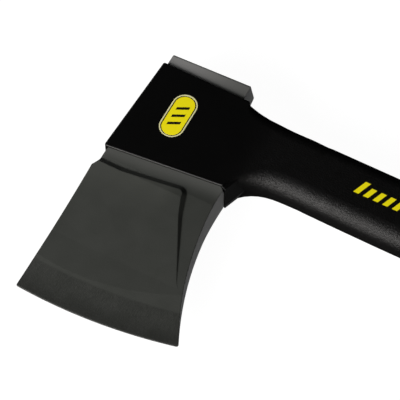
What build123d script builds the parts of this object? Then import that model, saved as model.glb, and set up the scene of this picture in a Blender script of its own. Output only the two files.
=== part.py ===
from build123d import *
import math
import os

# Chopping axe with a forged head moulded into a composite handle, lying on its cheek.
# +X runs along the handle to the butt, +Y towards the poll, +Z out of the upper cheek.
# All sizes are millimetres. Sketches are drawn on AXE, whose own origin is where the
# handle's axis meets the head; the row's origin is the bottom centre of the whole axe.

# ---- driving dimensions -------------------------------------------------------------
TOE_X = -60.3          # toe side of the blade
BUTT_X = 540.0         # end of the pommel
POLL_Y = 29.8          # back of the poll at its heel end
EDGE_Y = -131.85       # lowest point of the cutting edge
HALF = 11.0            # half the thickness of the collar, the thickest place

NECK_X = -58.0         # toe side of the neck
NECK_HALF = 9.7        # half the thickness of the steel at the poll and the neck
TANG_HALF = 6.0        # half the thickness of the tang hidden in the collar
DRAFT = 12.0           # forging draft of the head's outline, degrees
WEDGE_Y = -50.0        # where the wedge starts
WEDGE_TILT = 7.4       # slope of each raised pad, degrees
HEEL_TILT = 5.35       # slope of the thinner cheek outside the pad, degrees
BEVEL = 10.0           # slope of the honed edge, degrees
EDGE_HALF = 0.05       # half the thickness of the honed edge
PAD_WALL = 58.0        # slope of the wall round the pad, from square, degrees
PAD_DEEP = 8.0         # depth of the block that cuts the pad out of the wedge

HEEL_TIP = (31.1, -123.1)
HEEL_MID = (15.9, -78.0)
TOE_TIP = (TOE_X, -131.25)
TOE_MID = (-59.7, -93.0)
EDGE_MID = (-14.0, -130.65)
TIP_ROUND = 1.2        # rounding of the blade's two tips

POLL_X = (-55.0, -4.0)  # toe end and heel end of the poll at the mid-plane
POLL_TURN = 1.9        # the poll's back isn't quite parallel to the handle, degrees
POLL_EDGE = 1.5        # rounding of the poll's back
POLL_DEEP = 16.0       # how far the poll reaches into the collar
TANG_X = (-52.0, -2.0)  # toe end and heel end of the tang
TANG_Y = (-32.0, 18.0)  # blade end and poll end of the tang
TANG_ROUND = 3.0
TANG_HOLES = [(-40.0, -4.0), (-16.0, -4.0)]
TANG_HOLE_R = 5.0

COLLAR_EDGE = 0.9      # rounding of the collar's rims
COLLAR_HEEL = 9.2      # heel end of the collar, where the shaft sweeps out of it
BEAK_DRAFT = 18.0      # slope of the beak's sides towards each cheek, degrees
THIN_ROUND = 0.8       # smallest corner rounding of an inner section
WALL = 3.6             # wall of the hollow shaft
HOLLOW = (60.0, 496.0)  # start and end of the hollow
GRIP = (362.0, 496.0)  # start and end of the soft grip
GRIP_SKIN = 2.2        # thickness of the soft grip
SPIGOT = 24.0          # length of the end cap's spigot
SPIGOT_GAP = 0.5       # glue gap round the spigot
HANG_R = 5.5           # radius of the hanging hole
HANG_X, HANG_Y = 523.0, -11.0
BUTT_EDGE = 4.5        # rounding of the butt
BADGE_AT = (-31.7, -6.4)
BADGE_SIZE = (14.0, 28.5)
INLAY = 0.8            # depth of a badge's recess
PRINT = 0.15           # thickness of the printed marks
MARK_COUNT = 14        # printed bars on each flank
MARK_X, MARK_Y = 71.5, -4.6
MARK_PITCH = 5.6
MARK_WIDE = 3.0
MARK_TALL = 8.4
MARK_LOW = 6.2
MARK_LEAN = 22.0       # slant of the bars, degrees

SHAFT_JOINTS = (-4.5, 9.2, 50.0, 170.0, 362.0)  # where one loft of the shaft meets the next
REACH = 20.0           # how far a cutting block passes the side it cuts
PAST = 1.0             # how far a block passes a face it only has to clear

AXE = Plane(origin=(-(TOE_X + BUTT_X) / 2, -(POLL_Y + EDGE_Y) / 2, HALF))

# stations of the shaft: x, top, bottom, top corner radius, bottom corner radius, half
SHAFT = [
    (-4.5, 20.4, -28.0, 4.0, 1.0, 11.0),
    (2.0, 18.8, -29.0, 6.0, 1.0, 11.0),
    (9.2, 17.9, -33.8, 7.5, 1.2, 11.0),
    (13.5, 17.6, -28.3, 8.0, 4.0, 11.0),
    (19.0, 17.5, -24.6, 8.5, 6.5, 11.0),
    (25.0, 17.4, -22.3, 9.0, 8.0, 11.0),
    (33.0, 17.4, -21.0, 9.0, 8.8, 11.0),
    (41.0, 17.4, -20.7, 9.0, 9.0, 11.0),
    (50.0, 17.4, -20.7, 9.0, 9.0, 11.0),
    (105.0, 17.4, -21.2, 9.0, 9.0, 11.0),
    (170.0, 17.2, -20.6, 9.0, 9.0, 11.0),
    (235.0, 16.6, -19.4, 9.0, 9.0, 10.8),
    (300.0, 15.6, -18.6, 9.0, 9.0, 10.7),
    (362.0, 14.2, -18.8, 9.0, 9.0, 10.8),
    (430.0, 12.6, -21.0, 9.0, 9.0, 10.9),
    (496.0, 12.0, -25.0, 9.0, 9.0, 11.0),
]
POMMEL = [
    (496.0, 12.0, -25.0, 9.0, 9.0, 11.0),
    (508.0, 11.6, -27.6, 9.0, 9.0, 11.0),
    (520.0, 11.2, -34.0, 9.0, 9.0, 11.0),
    (531.0, 10.6, -43.0, 9.0, 9.0, 11.0),
    (540.0, 9.4, -47.0, 9.0, 9.0, 11.0),
]


def section(station, inset=0.0):
    """One cross-section of the handle, square to its length and drawn in from it by inset."""
    x, top, bottom, r_top, r_bottom, half = station
    plane = Plane(AXE.from_local_coords(Vector(x, 0, 0)), x_dir=(0, 1, 0), z_dir=(1, 0, 0))
    top, bottom, half = top - inset, bottom + inset, half - inset
    corners = [(top, half), (bottom, half), (bottom, -half), (top, -half)]
    radii = [max(r - inset, THIN_ROUND) for r in (r_top, r_bottom, r_bottom, r_top)]
    with BuildSketch(plane) as sketch:
        with BuildLine():
            FilletPolyline(*corners, radius=radii, close=True)
        make_face()
    return sketch.sketch


def at(stations, x):
    """The station at x, between its two neighbours."""
    for a, b in zip(stations, stations[1:]):
        if a[0] <= x <= b[0]:
            t = (x - a[0]) / (b[0] - a[0])
            return tuple(p + (q - p) * t for p, q in zip(a, b))
    raise ValueError("no station at this place")


def run(stations, start, end):
    """The stations from start to end, with one made at each end."""
    inner = [s for s in stations if start + 1 < s[0] < end - 1]
    return [at(stations, start)] + inner + [at(stations, end)]


def tan_deg(angle):
    """Tangent of an angle given in degrees."""
    return math.tan(math.radians(angle))


def wedge(half, start_y, tilt):
    """A slab as thick as the neck that tapers from start_y to past the cutting edge."""
    end_y = EDGE_Y - PAST
    fall = (start_y - end_y) * tan_deg(tilt)
    side = Plane(AXE.from_local_coords(Vector(TOE_X - REACH, 0, 0)), x_dir=(0, 1, 0), z_dir=(1, 0, 0))
    with BuildPart() as slab:
        with BuildSketch(side):
            with BuildLine():
                Polyline(
                    (POLL_Y + PAST, half),
                    (start_y, half),
                    (end_y, half - fall),
                    (end_y, -half + fall),
                    (start_y, -half),
                    (POLL_Y + PAST, -half),
                    close=True,
                )
            make_face()
        extrude(amount=HEEL_TIP[0] - TOE_X + 2 * REACH)
    return slab.part


# ---- the forged head ---------------------------------------------------------------
# The blade's outline at the mid-plane, drawn in by the draft towards each cheek.
with BuildPart() as blade:
    with BuildSketch(AXE) as blade_outline:
        with BuildLine():
            toe = ThreePointArc(TOE_TIP, TOE_MID, (TOE_X, -53.5))
            neck = FilletPolyline(
                toe @ 1,
                (NECK_X, -49.5),
                (NECK_X, -41.5),
                (NECK_X + 5, -28.0),
                (5.6, -28.0),
                (12.7, -34.8),
                radius=[4.0, 0, 0, 0],
            )
            heel = ThreePointArc(neck @ 1, HEEL_MID, HEEL_TIP)
            ThreePointArc(heel @ 1, EDGE_MID, TOE_TIP)
        make_face()
        tips = blade_outline.vertices().group_by(Axis.Y)[0] + blade_outline.vertices().sort_by(Axis.X)[-1]
        fillet(tips, radius=TIP_ROUND)
    extrude(amount=HALF + PAST, taper=DRAFT)
    mirror(about=AXE)

# The honed edge: a blunt double cone about the centre of the cutting edge's arc.
edge_arc = ThreePointArc(HEEL_TIP, EDGE_MID, TOE_TIP, mode=Mode.PRIVATE)
edge_radius = edge_arc.radius
edge_centre = edge_arc.arc_center
hone_plane = Plane(
    AXE.from_local_coords(edge_centre),
    x_dir=(0, -1, 0),
    z_dir=(-1, 0, 0),
)
rise = edge_radius * tan_deg(BEVEL)
with BuildPart() as hone:
    with BuildSketch(hone_plane):
        with BuildLine():
            Polyline(
                (0, EDGE_HALF + rise),
                (edge_radius, EDGE_HALF),
                (edge_radius, -EDGE_HALF),
                (0, -EDGE_HALF - rise),
                close=True,
            )
        make_face()
    revolve(axis=Axis(hone_plane.origin, (0, 0, 1)))

# The raised pad of the upper cheek, drawn on its own sloping face.
pad_tilt = math.radians(WEDGE_TILT)
PAD = Plane(
    AXE.from_local_coords(Vector(0, WEDGE_Y, HALF)),
    x_dir=(1, 0, 0),
    z_dir=(0, -math.sin(pad_tilt), math.cos(pad_tilt)),
)
with BuildPart() as pad:
    with BuildSketch(PAD):
        with BuildLine():
            FilletPolyline(
                (TOE_X - 10, -0.6),
                (-42.8, -0.8),
                (-8.0, 3.2),
                (-3.4, -9.2),
                (15.0, -46.0),
                (40.0, -70.0),
                (40.0, -90.0),
                (TOE_X - 10, -90.0),
                radius=[0, 20, 2.5, 20, 30, 0, 0, 0],
                close=True,
            )
        make_face()
    extrude(amount=-PAD_DEEP, taper=-PAD_WALL)

# The tang and the poll: a plate with two interlock holes, thicker where it leaves the collar.
with BuildPart() as tang:
    with BuildSketch(AXE):
        with Locations(((TANG_X[0] + TANG_X[1]) / 2, (TANG_Y[0] + TANG_Y[1]) / 2)):
            RectangleRounded(TANG_X[1] - TANG_X[0], TANG_Y[1] - TANG_Y[0], TANG_ROUND)
        with Locations(*TANG_HOLES):
            Circle(TANG_HOLE_R, mode=Mode.SUBTRACT)
    extrude(amount=TANG_HALF, both=True)

poll_back = Plane(AXE.from_local_coords(Vector(POLL_X[1], POLL_Y, 0))).rotated((0, 0, POLL_TURN))
with BuildPart() as poll:
    with BuildSketch(AXE):
        with Locations(((POLL_X[0] + POLL_X[1]) / 2, POLL_Y)):
            Rectangle(POLL_X[1] - POLL_X[0], 2 * POLL_DEEP)
    extrude(amount=NECK_HALF, taper=DRAFT)
    mirror(about=AXE)
    with BuildSketch(poll_back.offset(-HALF)):
        with Locations((0, REACH)):
            Rectangle(-8 * POLL_X[0], 2 * REACH)
    extrude(amount=2 * HALF, mode=Mode.SUBTRACT)
    back = poll.faces().sort_by(Axis.Y)[-1]
    fillet(back.edges(), radius=POLL_EDGE)

with BuildPart() as raised:
    add(blade.part)
    add(hone.part, mode=Mode.INTERSECT)
    add(wedge(HALF, WEDGE_Y, WEDGE_TILT), mode=Mode.INTERSECT)
    add(pad.part, mode=Mode.INTERSECT)
    mirror(about=AXE)

with BuildPart() as axe_head:
    add(blade.part)
    add(hone.part, mode=Mode.INTERSECT)
    add(wedge(NECK_HALF, WEDGE_Y + 4, HEEL_TILT), mode=Mode.INTERSECT)
    add(raised.part)
    add(tang.part)
    add(poll.part)
axe_head.part.label = "axe_head"


# ---- the inlaid badges and the printed marks ---------------------------------------
def inlaid(cheek, depth):
    """The plane at the foot of an inlay of this depth in the upper (1) or lower (-1) cheek."""
    return AXE.offset(HALF - depth if cheek > 0 else -HALF)


def badge(cheek):
    """A plate with round ends that fills its recess, level with the cheek."""
    with BuildPart() as plate:
        with BuildSketch(inlaid(cheek, INLAY)):
            with Locations(BADGE_AT):
                RectangleRounded(*BADGE_SIZE, BADGE_SIZE[0] / 2 - 0.1)
        extrude(amount=INLAY)
    return plate.part


def marks(cheek):
    """A row of slanted bars printed on the flank, the first one taller."""
    with BuildPart() as bars:
        with BuildSketch(inlaid(cheek, PRINT)):
            for i in range(MARK_COUNT):
                x = MARK_X + i * MARK_PITCH
                tall = MARK_TALL if i == 0 else MARK_LOW
                lean = tall * tan_deg(MARK_LEAN)
                with BuildLine():
                    Polyline(
                        (x, MARK_Y),
                        (x + MARK_WIDE, MARK_Y),
                        (x + MARK_WIDE + lean, MARK_Y + tall),
                        (x + lean, MARK_Y + tall),
                        close=True,
                    )
                make_face()
        extrude(amount=PRINT)
    return bars.part


# ---- the moulded handle ------------------------------------------------------------
def swept(stations, inset=0.0):
    """A solid lofted through the sections of the stations."""
    with BuildPart() as solid:
        loft([section(s, inset).face() for s in stations])
    return solid.part


with BuildPart() as collar:
    with BuildSketch(AXE):
        with BuildLine():
            FilletPolyline(
                (-2.0, 19.8),
                (-55.0, 20.5),
                (-58.2, -40.8),
                (COLLAR_HEEL, -33.8),
                (COLLAR_HEEL, 0.0),
                radius=[0, 1.0, 1.4, 0, 0],
                close=True,
            )
        make_face()
    extrude(amount=HALF, both=True)
    rims = collar.edges().group_by(Axis.Z)[0] + collar.edges().group_by(Axis.Z)[-1]
    fillet(rims.filter_by(lambda e: e.center().X < AXE.origin.X + COLLAR_HEEL - PAST), radius=COLLAR_EDGE)

# The collar's heel corner runs down the side of the neck as a short beak.
with BuildPart() as beak:
    with BuildSketch(AXE):
        with BuildLine():
            Polyline(
                (0.0, -22.0),
                (0.0, -34.75),
                (13.4, -38.4),
                (18.0, -26.0),
                (18.0, -22.0),
                close=True,
            )
        make_face()
    extrude(amount=HALF - PAST, taper=BEAK_DRAFT)
    mirror(about=AXE)

grip_run = run(SHAFT, *GRIP)
grip_core = swept(grip_run, GRIP_SKIN)
with BuildPart() as handle_body:
    add(collar.part)
    add(beak.part)
    for start, end in zip(SHAFT_JOINTS, SHAFT_JOINTS[1:]):
        add(swept(run(SHAFT, start, end)))
    add(grip_core)
    add(swept(run(SHAFT, *HOLLOW), WALL + GRIP_SKIN), mode=Mode.SUBTRACT)
    add(axe_head.part, mode=Mode.SUBTRACT)
    for cheek in (1, -1):
        add(badge(cheek), mode=Mode.SUBTRACT)
        add(marks(cheek), mode=Mode.SUBTRACT)

with BuildPart() as soft_grip:
    add(swept(grip_run))
    add(grip_core, mode=Mode.SUBTRACT)

# ---- the pommel --------------------------------------------------------------------
with BuildPart() as end_cap:
    add(swept(POMMEL))
    fillet(end_cap.faces().sort_by(Axis.X)[-1].edges(), radius=BUTT_EDGE)
    add(swept(run(SHAFT, HOLLOW[1] - SPIGOT, HOLLOW[1]), WALL + GRIP_SKIN + SPIGOT_GAP))
    with BuildSketch(AXE):
        with Locations((HANG_X, HANG_Y)):
            Circle(HANG_R)
    extrude(amount=HALF + PAST, both=True, mode=Mode.SUBTRACT)


# ---- every piece and its node ------------------------------------------------------
with BuildPart() as badge_near:
    add(badge(1))
with BuildPart() as badge_far:
    add(badge(-1))
with BuildPart() as flank_marks_near:
    add(marks(1))
with BuildPart() as flank_marks_far:
    add(marks(-1))

pieces = {
    "axe_head": axe_head,
    "handle_body": handle_body,
    "soft_grip": soft_grip,
    "end_cap": end_cap,
    "badge_near": badge_near,
    "badge_far": badge_far,
    "flank_marks_near": flank_marks_near,
    "flank_marks_far": flank_marks_far,
}
os.makedirs("parts", exist_ok=True)
for name, piece in pieces.items():
    piece.part.label = name
    export_step(piece.part, f"parts/{name}.step")
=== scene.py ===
import math

import bmesh
import bpy
from mathutils import Matrix, Vector


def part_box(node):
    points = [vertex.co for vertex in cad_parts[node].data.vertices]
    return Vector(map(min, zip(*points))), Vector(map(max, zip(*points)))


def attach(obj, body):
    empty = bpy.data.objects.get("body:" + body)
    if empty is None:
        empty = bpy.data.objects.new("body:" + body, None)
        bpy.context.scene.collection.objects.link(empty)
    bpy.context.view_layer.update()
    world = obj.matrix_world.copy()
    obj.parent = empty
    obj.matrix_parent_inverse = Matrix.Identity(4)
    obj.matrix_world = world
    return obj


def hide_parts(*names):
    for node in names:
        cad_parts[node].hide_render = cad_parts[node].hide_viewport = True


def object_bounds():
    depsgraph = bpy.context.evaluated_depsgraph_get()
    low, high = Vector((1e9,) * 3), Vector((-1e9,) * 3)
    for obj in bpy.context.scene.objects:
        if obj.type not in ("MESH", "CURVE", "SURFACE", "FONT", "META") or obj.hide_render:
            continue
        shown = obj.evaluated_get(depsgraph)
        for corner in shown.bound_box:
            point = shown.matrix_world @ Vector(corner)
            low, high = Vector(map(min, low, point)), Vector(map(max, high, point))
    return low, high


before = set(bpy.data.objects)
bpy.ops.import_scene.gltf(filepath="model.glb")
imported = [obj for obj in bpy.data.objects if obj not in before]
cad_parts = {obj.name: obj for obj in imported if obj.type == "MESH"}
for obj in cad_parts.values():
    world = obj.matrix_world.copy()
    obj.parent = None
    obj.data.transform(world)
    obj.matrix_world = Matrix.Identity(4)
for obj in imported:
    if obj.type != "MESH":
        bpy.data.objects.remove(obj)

cad_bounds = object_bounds()

# ---- places read from the frame ----------------------------------------------------
MM = 0.001
HEAD_LO, HEAD_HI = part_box("axe_head")
MID_Z = (HEAD_LO[2] + HEAD_HI[2]) / 2
TOE_TO_AXIS = 60.3 * MM  # from the blade's toe to where the handle's axis meets the head
EDGE_TO_AXIS = 131.85 * MM  # from the cutting edge's lowest point to the handle's axis
AXIS = Vector((HEAD_LO[0] + TOE_TO_AXIS, HEAD_LO[1] + EDGE_TO_AXIS, MID_Z))

# ---- the head, measured from the handle's axis ---------------------------------------
HEEL_TIP = (31.1 * MM, -123.1 * MM)
EDGE_MID = (-14.0 * MM, -130.65 * MM)
TOE_TIP = (-60.3 * MM, -131.25 * MM)
GROUND_WIDTH = 18.2 * MM
RIM_START = -34.8 * MM  # where the collar's rim crosses the axis's zero
RIM_SLANT = 0.104
NECK_REACH = 11.0 * MM  # how far below the rim the painted highlight on the neck fades out
TOE_LIGHT_BELOW = (8.0 * MM, 34.0 * MM)  # painted light: the toe half of the cheek is painted lighter under the rim
TOE_LIGHT_ALONG = (-18.0 * MM, -6.0 * MM)
POLL_ACROSS = (15.0 * MM, 19.0 * MM)  # where the poll's painted light comes in
POLL_ALONG = (-50.0 * MM, -4.0 * MM)  # and where it dims towards the heel
GRAIN_ALONG = (2.0 * MM, 26.0 * MM)  # where the nylon's grain comes in, past the collar

# ---- the badges: material places, sizes in their own plane, and drops below their top ----
RIM, INK, FIELD = 0, 1, 2
BADGE_WIDTH = 14.0 * MM
BADGE_LENGTH = 28.5 * MM
BADGE_FIT = 0.05 * MM
BADGE_STEPS = 28
KEYLINE_INSET = 0.75 * MM
FIELD_INSET = 1.35 * MM
RIM_DROP = 0.30 * MM
KEYLINE_DROP = 0.16 * MM
FIELD_DROP = 0.06 * MM
BAR_DROP = 0.02 * MM
FIELD_SOFTEN = 0.05 * MM
BAR_HALF = 3.2 * MM
BAR_PITCH = 5.2 * MM
BAR_WIDE = 1.7 * MM
BAR_LEAN = 1.6 * MM

# ---- the grip: share of its length, top, bottom and half thickness ------------------
GRIP_FORM = (
    (0.0, 14.2 * MM, -18.8 * MM, 10.8 * MM),
    (0.507, 12.6 * MM, -21.0 * MM, 10.9 * MM),
    (1.0, 12.0 * MM, -25.0 * MM, 11.0 * MM),
)
GRIP_ROUND = 9.0 * MM
GRIP_STEPS = 12
GRIP_STRIDE = 0.7 * MM
GRIP_FIT = 0.05 * MM
GRIP_SKIN = 2.1 * MM
RIB_BORDER = 5.0 * MM
RIB_PITCH = 6.2 * MM
RIB_DEPTH = 1.1 * MM
RIB_BACK = 0.75  # the ribs end where the grip's skin faces its back by this much

# ---- camera ------------------------------------------------------------------------
VIEW_AZIMUTH = math.radians(28.0)
VIEW_HEIGHT = math.radians(60.0)
VIEW_DISTANCE = 1.2
LENS = 204.1
AIM = AXIS + Vector((0, -41.3 * MM, 0))

# ---- studio ------------------------------------------------------------------------
FLOOR_SIZE = 8.0
FLOOR_GAP = 0.0002
LIGHT_DISTANCE = 1.5
LIGHTS = (  # name, direction from the aim, width and height, watts, colour
    ("key", (-0.52, -0.70, 0.46), (1.0, 0.5), 16, (1, 1, 1)),
    ("band", (-0.23, -0.92, 0.32), (1.3, 0.6), 38, (1, 0.96, 0.925)),
    ("fill", (-0.90, 0.25, 0.40), (0.8, 0.5), 3, (1, 1, 1)),
)
SURROUND = 0.04
PATCH = 4.0
PATCH_TOWARDS = (0.61, 0.44, -0.66)
PATCH_SPREAD = (0.6, 0.95)  # the cosines of the patch's rim and core
RANGE_KEYS = ("From Min", "From Max", "To Min", "To Max")


# ---- making the camera and the studio -----------------------------------------------
def view_direction(azimuth, height):
    """Unit vector from the object towards a viewer at that azimuth and height."""
    flat = math.cos(height)
    return Vector((math.sin(azimuth) * flat, -math.cos(azimuth) * flat, math.sin(height)))


def look_from(obj, place, target):
    """Puts obj at place with its -Z towards target and its +Y up."""
    obj.location = place
    obj.rotation_euler = (target - place).to_track_quat("-Z", "Y").to_euler()


def make_camera():
    data = bpy.data.cameras.new("camera")
    data.sensor_width = 36.0
    data.lens = LENS
    data.clip_start = 0.01
    data.clip_end = 50.0
    camera = bpy.data.objects.new("camera", data)
    bpy.context.collection.objects.link(camera)
    look_from(camera, AIM + view_direction(VIEW_AZIMUTH, VIEW_HEIGHT) * VIEW_DISTANCE, AIM)
    bpy.context.scene.camera = camera


def area_light(name, direction, size, power, colour):
    data = bpy.data.lights.new(name, "AREA")
    data.shape = "RECTANGLE"
    data.size, data.size_y = size
    data.energy = power
    data.color = colour
    light = bpy.data.objects.new(name, data)
    bpy.context.collection.objects.link(light)
    look_from(light, AIM + Vector(direction).normalized() * LIGHT_DISTANCE, AIM)


def make_world():
    """A dim even surround with one soft bright patch, which gloss mirrors."""
    world = bpy.data.worlds.new("studio")
    world.use_nodes = True
    tree = world.node_tree
    place = tree.nodes.new("ShaderNodeTexCoord").outputs["Generated"]
    facing = tree.nodes.new("ShaderNodeVectorMath")
    facing.operation = "DOT_PRODUCT"
    tree.links.new(place, facing.inputs[0])
    facing.inputs[1].default_value = Vector(PATCH_TOWARDS).normalized()
    patch = tree.nodes.new("ShaderNodeMapRange")
    patch.interpolation_type = "SMOOTHSTEP"
    tree.links.new(facing.outputs["Value"], patch.inputs["Value"])
    for key, number in zip(RANGE_KEYS, (*PATCH_SPREAD, SURROUND, PATCH)):
        patch.inputs[key].default_value = number
    tree.links.new(patch.outputs["Result"], tree.nodes["Background"].inputs["Strength"])
    bpy.context.scene.world = world


def make_floor():
    """A pale floor that gives off its own light, just under the axe."""
    bpy.ops.mesh.primitive_plane_add(size=FLOOR_SIZE, location=(0, 0, cad_bounds[0][2] - FLOOR_GAP))
    floor = bpy.context.object
    floor.name = "floor"
    mat = bpy.data.materials.new("floor")
    mat.use_nodes = True
    shader = mat.node_tree.nodes["Principled BSDF"]
    shader.inputs["Base Color"].default_value = (0.12, 0.12, 0.12, 1)
    shader.inputs["Roughness"].default_value = 0.9
    shader.inputs["Specular IOR Level"].default_value = 0.1
    shader.inputs["Emission Color"].default_value = (1, 1, 1, 1)
    shader.inputs["Emission Strength"].default_value = 0.97
    floor.data.materials.append(mat)
    floor.visible_glossy = False  # gloss mirrors the world instead of the bright floor


def make_studio():
    make_world()
    make_floor()
    for light in LIGHTS:
        area_light(*light)
    bpy.context.scene.view_settings.view_transform = "Standard"


# ---- materials ---------------------------------------------------------------------
class Look:
    """One node material under construction, with short calls for the nodes it needs."""

    def __init__(self, name):
        self.mat = bpy.data.materials.new(name)
        self.mat.use_nodes = True
        self.tree = self.mat.node_tree
        self.shader = self.tree.nodes["Principled BSDF"]
        self.place = self.tree.nodes.new("ShaderNodeTexCoord").outputs["Object"]

    def node(self, kind, **inputs):
        made = self.tree.nodes.new("ShaderNode" + kind)
        for key, value in inputs.items():
            self.feed(made.inputs[key], value)
        return made

    def feed(self, socket, value):
        if isinstance(value, bpy.types.NodeSocket):
            self.tree.links.new(value, socket)
        else:
            socket.default_value = value

    def set(self, name, value):
        self.feed(self.shader.inputs[name], value)

    def noise(self, scale, detail=2.0, rough=0.5, place=None):
        """Noise from 0 to 1; scale is its features per metre."""
        place = place or self.place
        made = self.node("TexNoise", Vector=place, Scale=scale, Detail=detail, Roughness=rough)
        return made.outputs["Fac"]

    def math(self, operation, a, b=0.0):
        made = self.tree.nodes.new("ShaderNodeMath")
        made.operation = operation
        self.feed(made.inputs[0], a)
        self.feed(made.inputs[1], b)
        return made.outputs[0]

    def fade(self, value, low, high, out_low=0.0, out_high=1.0):
        """value brought smoothly from low..high to out_low..out_high and held outside them."""
        made = self.tree.nodes.new("ShaderNodeMapRange")
        made.interpolation_type = "SMOOTHSTEP"
        self.feed(made.inputs["Value"], value)
        for key, number in zip(RANGE_KEYS, (low, high, out_low, out_high)):
            made.inputs[key].default_value = number
        return made.outputs["Result"]

    def blend(self, share, a, b):
        """Colour a where share is 0, colour b where it is 1."""
        made = self.tree.nodes.new("ShaderNodeMix")
        made.data_type = "RGBA"
        self.feed(made.inputs["Factor"], share)
        for key, colour in (("A", a), ("B", b)):
            socket = next(s for s in made.inputs if s.name == key and s.type == "RGBA")
            self.feed(socket, colour if isinstance(colour, bpy.types.NodeSocket) else (*colour, 1))
        return next(s for s in made.outputs if s.type == "RGBA")

    def axes(self):
        """The x, y and z of the place, in the row frame."""
        made = self.node("SeparateXYZ", Vector=self.place)
        return made.outputs[0], made.outputs[1], made.outputs[2]

    def facing_x(self):
        """How far the surface faces along x, from -1 to 1."""
        normal = self.tree.nodes.new("ShaderNodeNewGeometry").outputs["Normal"]
        return self.node("SeparateXYZ", Vector=normal).outputs[0]

    def stretched(self, scale):
        """The place multiplied by scale along each axis, for a grain that runs one way."""
        made = self.tree.nodes.new("ShaderNodeVectorMath")
        made.operation = "MULTIPLY"
        self.feed(made.inputs[0], self.place)
        made.inputs[1].default_value = scale
        return made.outputs[0]

    def edge_wear(self, radius):
        """1 at edges and creases, within about that radius, and 0 on flat surfaces."""
        soft = self.tree.nodes.new("ShaderNodeBevel")
        soft.samples = 4
        soft.inputs["Radius"].default_value = radius
        sharp = self.tree.nodes.new("ShaderNodeNewGeometry").outputs["Normal"]
        dot = self.tree.nodes.new("ShaderNodeVectorMath")
        dot.operation = "DOT_PRODUCT"
        self.feed(dot.inputs[0], soft.outputs[0])
        self.feed(dot.inputs[1], sharp)
        return self.fade(self.math("SUBTRACT", 1.0, dot.outputs["Value"]), 0.0, 0.3)

    def bump(self, height, distance, round_radius=None):
        """Relief distance metres high where height is 1, over edges rounded to round_radius."""
        made = self.node("Bump", Height=height)
        made.inputs["Distance"].default_value = distance
        if round_radius:
            soft = self.tree.nodes.new("ShaderNodeBevel")
            soft.samples = 6
            soft.inputs["Radius"].default_value = round_radius
            self.feed(made.inputs["Normal"], soft.outputs[0])
        self.set("Normal", made.outputs[0])


def circle_through(a, b, c):
    """Centre and radius of the circle through three points in a plane."""
    (ax, ay), (bx, by), (cx, cy) = a, b, c
    turn = 2 * (ax * (by - cy) + bx * (cy - ay) + cx * (ay - by))
    aa, bb, cc = ax * ax + ay * ay, bx * bx + by * by, cx * cx + cy * cy
    x = (aa * (by - cy) + bb * (cy - ay) + cc * (ay - by)) / turn
    y = (aa * (cx - bx) + bb * (ax - cx) + cc * (bx - ax)) / turn
    return x, y, math.hypot(ax - x, ay - y)


def head_coat():
    """Dark satin coating on forged steel, with painted light on the neck, poll, toe and heel sides
    and the toe half under the rim, ground at the edge.
    """
    look = Look("head_coat")
    x, y, _ = look.axes()
    along = look.math("SUBTRACT", x, AXIS.x)
    across = look.math("SUBTRACT", y, AXIS.y)
    mottle = look.noise(55, 4.0, 0.6)
    base = look.blend(mottle, (0.029, 0.031, 0.028), (0.034, 0.0365, 0.033))

    # away from the collar's rim, which runs from toe to heel at a slight slant
    rim = look.math("ADD", look.math("MULTIPLY", along, RIM_SLANT), RIM_START)
    below = look.math("SUBTRACT", rim, across)
    # painted light: a lighter patch painted on the toe half of the cheek, just below the rim
    toe_light_paint = look.math(
        "MULTIPLY",
        look.fade(below, *TOE_LIGHT_BELOW, 1.0, 0.0),
        look.fade(along, *TOE_LIGHT_ALONG, 1.0, 0.0),
    )
    base = look.blend(toe_light_paint, base, (0.043, 0.0455, 0.041))
    # painted highlight: the neck is painted lighter right under the rim, fading downwards
    neck = look.fade(below, 0.0, NECK_REACH, 1.0, 0.0)
    base = look.blend(neck, base, (0.080, 0.083, 0.078))
    # painted light: the poll is painted much lighter, dimming towards the heel
    poll = look.math(
        "MULTIPLY",
        look.fade(across, *POLL_ACROSS),
        look.fade(along, *POLL_ALONG, 1.0, 0.2),
    )
    base = look.blend(poll, base, (0.24, 0.24, 0.237))

    # the ground band follows the edge's arc, with scratches that run from the cheek to the edge
    cx, cy, radius = circle_through(HEEL_TIP, EDGE_MID, TOE_TIP)
    out = look.math("POWER", look.math("SUBTRACT", along, cx), 2.0)
    out = look.math("ADD", out, look.math("POWER", look.math("SUBTRACT", across, cy), 2.0))
    to_edge = look.math("SUBTRACT", radius, look.math("SQRT", out))
    ground = look.fade(to_edge, GROUND_WIDTH - 1.5 * MM, GROUND_WIDTH, 1.0, 0.0)
    # the ground band is darker towards the edge
    darker_to_edge = look.fade(to_edge, 0.5 * MM, GROUND_WIDTH * 0.7, 0.0, 1.0)
    scratch = look.noise(1.0, 3.0, 0.6, look.stretched((2600, 130, 2600)))
    scratch = look.fade(scratch, 0.3, 0.7)
    steel = look.blend(scratch, (0.019, 0.0205, 0.0185), (0.027, 0.0285, 0.026))
    steel = look.blend(darker_to_edge, (0.014, 0.015, 0.0135), steel)
    base = look.blend(ground, base, steel)

    # painted reflection: the toe and heel sides are painted lighter than the cheeks
    side = look.fade(look.math("ABSOLUTE", look.facing_x()), 0.75, 0.92)
    base = look.blend(side, base, (0.17, 0.171, 0.17))

    rub = look.fade(look.noise(220, 3.0, 0.7), 0.45, 0.75, 0.1, 0.8)
    wear = look.math("MULTIPLY", look.edge_wear(0.0007), rub)
    look.set("Base Color", look.blend(wear, base, (0.14, 0.145, 0.135)))
    look.set("Roughness", look.fade(look.noise(90, 3.0), 0.3, 0.7, 0.43, 0.53))
    relief = look.math("ADD", look.noise(1500, 3.0, 0.6), look.math("MULTIPLY", scratch, ground))
    look.shader.inputs["Specular IOR Level"].default_value = 0.3
    look.bump(relief, 0.00004, 0.0008)
    return look.mat


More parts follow.
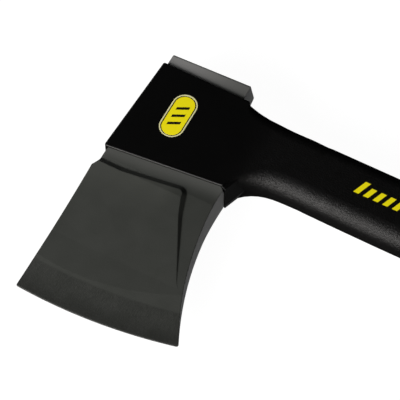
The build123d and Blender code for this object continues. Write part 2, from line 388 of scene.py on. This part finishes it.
def nylon():
    """Black glass-filled nylon: smooth on the collar, spark-eroded grain along the shaft."""
    look = Look("nylon")
    x, _, _ = look.axes()
    along = look.math("SUBTRACT", x, AXIS.x)
    grain_share = look.fade(along, *GRAIN_ALONG, 0.12, 1.0)
    grain = look.math("ADD", look.noise(1100, 2.0, 0.6), look.noise(2600, 1.0, 0.5))
    mottle = look.noise(70, 3.0, 0.6)
    look.set("Base Color", look.blend(mottle, (0.0006, 0.0006, 0.0006), (0.0016, 0.0016, 0.0016)))
    look.set("Roughness", look.fade(grain_share, 0.0, 1.0, 0.40, 0.45))
    look.shader.inputs["IOR"].default_value = 1.33
    look.bump(look.math("MULTIPLY", grain, grain_share), 0.00022, 0.0006)
    return look.mat


def rubber():
    """Soft black overmould with a fine pebbled skin and a patchy film of dust."""
    look = Look("rubber")
    dust = look.fade(look.noise(120, 4.0, 0.65), 0.4, 0.8)
    look.set("Base Color", look.blend(dust, (0.0035, 0.0035, 0.0036), (0.010, 0.010, 0.0095)))
    look.set("Roughness", look.fade(look.noise(400, 2.0), 0.3, 0.7, 0.60, 0.74))
    pebble = look.node("TexVoronoi", Vector=look.place, Scale=1400.0).outputs["Distance"]
    look.bump(look.math("ADD", pebble, look.noise(3000, 2.0)), 0.00008, 0.0004)
    return look.mat


def ink(name, light, dark):
    """Slightly uneven printed or enamelled colour."""
    look = Look(name)
    look.set("Base Color", look.blend(look.noise(260, 3.0), dark, light))
    look.set("Roughness", look.fade(look.noise(500, 2.0), 0.3, 0.7, 0.42, 0.5))
    look.shader.inputs["Specular IOR Level"].default_value = 0.3
    look.bump(look.noise(1800, 2.0), 0.00002)
    return look.mat


# ---- pieces ------------------------------------------------------------------------
def new_piece(name, mesh, mats, node):
    """Links mesh as a piece that rides on the axe and stands for a CAD node."""
    for mat in mats:
        mesh.materials.append(mat)
    piece = bpy.data.objects.new(name, mesh)
    bpy.context.collection.objects.link(piece)
    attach(piece, "root")
    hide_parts(node)
    return piece


def stadium(inset):
    """Outline of a badge drawn in by inset, as x, y about its middle."""
    half_width = BADGE_WIDTH / 2 - inset
    shoulder = (BADGE_LENGTH - BADGE_WIDTH) / 2
    points = []
    for end in (1, -1):
        for i in range(BADGE_STEPS + 1):
            turn = math.pi * i / BADGE_STEPS
            x = half_width * math.cos(turn)
            y = shoulder + half_width * math.sin(turn)
            points.append((end * x, end * y))
    return points


def drawn_in(outline, distance):
    """The outline with each point moved that distance towards its middle."""
    middle_x = sum(x for x, _ in outline) / len(outline)
    middle_y = sum(y for _, y in outline) / len(outline)
    points = []
    for x, y in outline:
        share = 1 - distance / math.hypot(x - middle_x, y - middle_y)
        points.append((middle_x + (x - middle_x) * share, middle_y + (y - middle_y) * share))
    return points


def walls(bm, lower, upper, mat=0):
    """Joins two rings of vertices with a band of quads."""
    count = len(lower)
    for i in range(count):
        after = (i + 1) % count
        face = bm.faces.new((lower[i], lower[after], upper[after], upper[i]))
        face.material_index = mat


def prism(bm, outline, low, high, mat, soften=0.0):
    """Adds a closed prism to bm, its top edge chamfered by soften."""
    levels = [(outline, low), (outline, high - soften)]
    if soften:
        levels.append((drawn_in(outline, soften), high))
    rings = [[bm.verts.new((x, y, z)) for x, y in line] for line, z in levels]
    for cap in (reversed(rings[0]), rings[-1]):
        bm.faces.new(tuple(cap)).material_index = mat
    for lower, upper in zip(rings, rings[1:]):
        walls(bm, lower, upper, mat)


def hoop(bm, outer, inner, low, high, mat):
    """Adds a closed ring between two outlines with the same number of points."""
    levels = ((outer, low), (outer, high), (inner, high), (inner, low))
    rings = [[bm.verts.new((x, y, z)) for x, y in line] for line, z in levels]
    for lower, upper in zip(rings, rings[1:] + rings[:1]):
        walls(bm, lower, upper, mat)


def badge(name, node, cheek, mats):
    """An enamelled plate: pale rim, dark keyline, yellow field and three plain slanted bars."""
    lo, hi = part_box(node)
    thick = hi[2] - lo[2]
    bm = bmesh.new()
    seat, keyline_top, field_top = thick - RIM_DROP, thick - KEYLINE_DROP, thick - FIELD_DROP
    prism(bm, stadium(BADGE_FIT), 0.0, seat, RIM)
    hoop(bm, stadium(BADGE_FIT), stadium(KEYLINE_INSET), seat, thick, RIM)
    prism(bm, stadium(KEYLINE_INSET), seat, keyline_top, INK)
    prism(bm, stadium(FIELD_INSET), keyline_top, field_top, FIELD, FIELD_SOFTEN)
    for i in (-1, 0, 1):
        middle = BAR_PITCH * i
        bar = [
            (-BAR_HALF, middle - BAR_WIDE / 2 - BAR_LEAN),
            (BAR_HALF, middle - BAR_WIDE / 2 + BAR_LEAN),
            (BAR_HALF, middle + BAR_WIDE / 2 + BAR_LEAN),
            (-BAR_HALF, middle + BAR_WIDE / 2 - BAR_LEAN),
        ]
        prism(bm, bar, field_top, thick - BAR_DROP, INK)
    bmesh.ops.recalc_face_normals(bm, faces=bm.faces)
    if cheek < 0:
        bmesh.ops.rotate(bm, verts=bm.verts, matrix=Matrix.Rotation(math.pi, 3, "Y"))
    place = Vector(((lo[0] + hi[0]) / 2, (lo[1] + hi[1]) / 2, lo[2] if cheek > 0 else hi[2]))
    bmesh.ops.translate(bm, verts=bm.verts, vec=place)
    mesh = bpy.data.meshes.new(name)
    bm.to_mesh(mesh)
    bm.free()
    return new_piece(name, mesh, mats, node)


def between(table, x):
    """The row of table at x, between its two neighbours."""
    for a, b in zip(table, table[1:]):
        if x <= b[0]:
            t = (x - a[0]) / (b[0] - a[0])
            return [p + (q - p) * t for p, q in zip(a, b)]
    return table[-1]


def grip_ring(top, bottom, half, inset, sink):
    """One section of the grip, each point drawn in by inset plus sink times how low it lies."""
    corner = GRIP_ROUND - inset
    middles = (
        (top - GRIP_ROUND, half - GRIP_ROUND, 0.0),
        (bottom + GRIP_ROUND, half - GRIP_ROUND, 0.5),
        (bottom + GRIP_ROUND, GRIP_ROUND - half, 1.0),
        (top - GRIP_ROUND, GRIP_ROUND - half, 1.5),
    )
    points = []
    for y, z, quarter in middles:
        for i in range(GRIP_STEPS + 1):
            turn = math.pi * (quarter + 0.5 * i / GRIP_STEPS)
            reach_y, reach_z = math.cos(turn), math.sin(turn)
            low = min(1.0, max(0.0, RIB_BACK - reach_y))
            reach = corner - sink * low
            points.append((y + reach_y * reach, z + reach_z * reach))
    return points


def soft_grip(mat):
    """The overmoulded grip: moulded ribs round its belly and sides, smooth along its back."""
    lo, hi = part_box("soft_grip")
    length = hi[0] - lo[0]
    steps = int(length / GRIP_STRIDE)
    bm = bmesh.new()
    skins = []
    for inset, ribbed in ((GRIP_FIT, True), (GRIP_SKIN, False)):
        rings = []
        for i in range(steps + 1):
            share = i / steps
            top, bottom, half = between(GRIP_FORM, share)[1:]
            from_end = min(share, 1 - share) * length
            ribs = 0.5 - 0.5 * math.cos(2 * math.pi * (share * length - RIB_BORDER) / RIB_PITCH)
            depth = RIB_DEPTH * ribs ** 2 if ribbed and from_end > RIB_BORDER else 0.0
            ring = grip_ring(top, bottom, half, inset, depth)
            x = lo[0] + share * length
            rings.append([bm.verts.new((x, AXIS.y + y, AXIS.z + z)) for y, z in ring])
        skins.append(rings)
    outer, inner = skins
    for rings in skins:
        for a, b in zip(rings, rings[1:]):
            walls(bm, a, b)
    for end in (0, -1):
        walls(bm, outer[end], inner[end])
    bmesh.ops.recalc_face_normals(bm, faces=bm.faces)
    for face in bm.faces:
        face.smooth = True
    mesh = bpy.data.meshes.new("ribbed_grip")
    bm.to_mesh(mesh)
    bm.free()
    return new_piece("ribbed_grip", mesh, [mat], "soft_grip")


def dress(node, mat):
    """Gives a CAD node its finished material."""
    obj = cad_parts[node]
    obj.data.materials.clear()
    obj.data.materials.append(mat)


def dress_frame():
    dress("axe_head", head_coat())
    black = nylon()
    dress("handle_body", black)
    dress("end_cap", black)
    yellow = ink("yellow_ink", (0.95, 0.84, 0.008), (0.90, 0.78, 0.004))
    dress("flank_marks_near", yellow)
    dress("flank_marks_far", yellow)
    soft_grip(rubber())
    cream = ink("cream_rim", (0.80, 0.78, 0.45), (0.70, 0.68, 0.36))
    keyline = ink("keyline", (0.010, 0.008, 0.004), (0.006, 0.005, 0.003))
    badge("badge_plate_near", "badge_near", 1, (cream, keyline, yellow))
    badge("badge_plate_far", "badge_far", -1, (cream, keyline, yellow))


make_camera()
make_studio()
dress_frame()
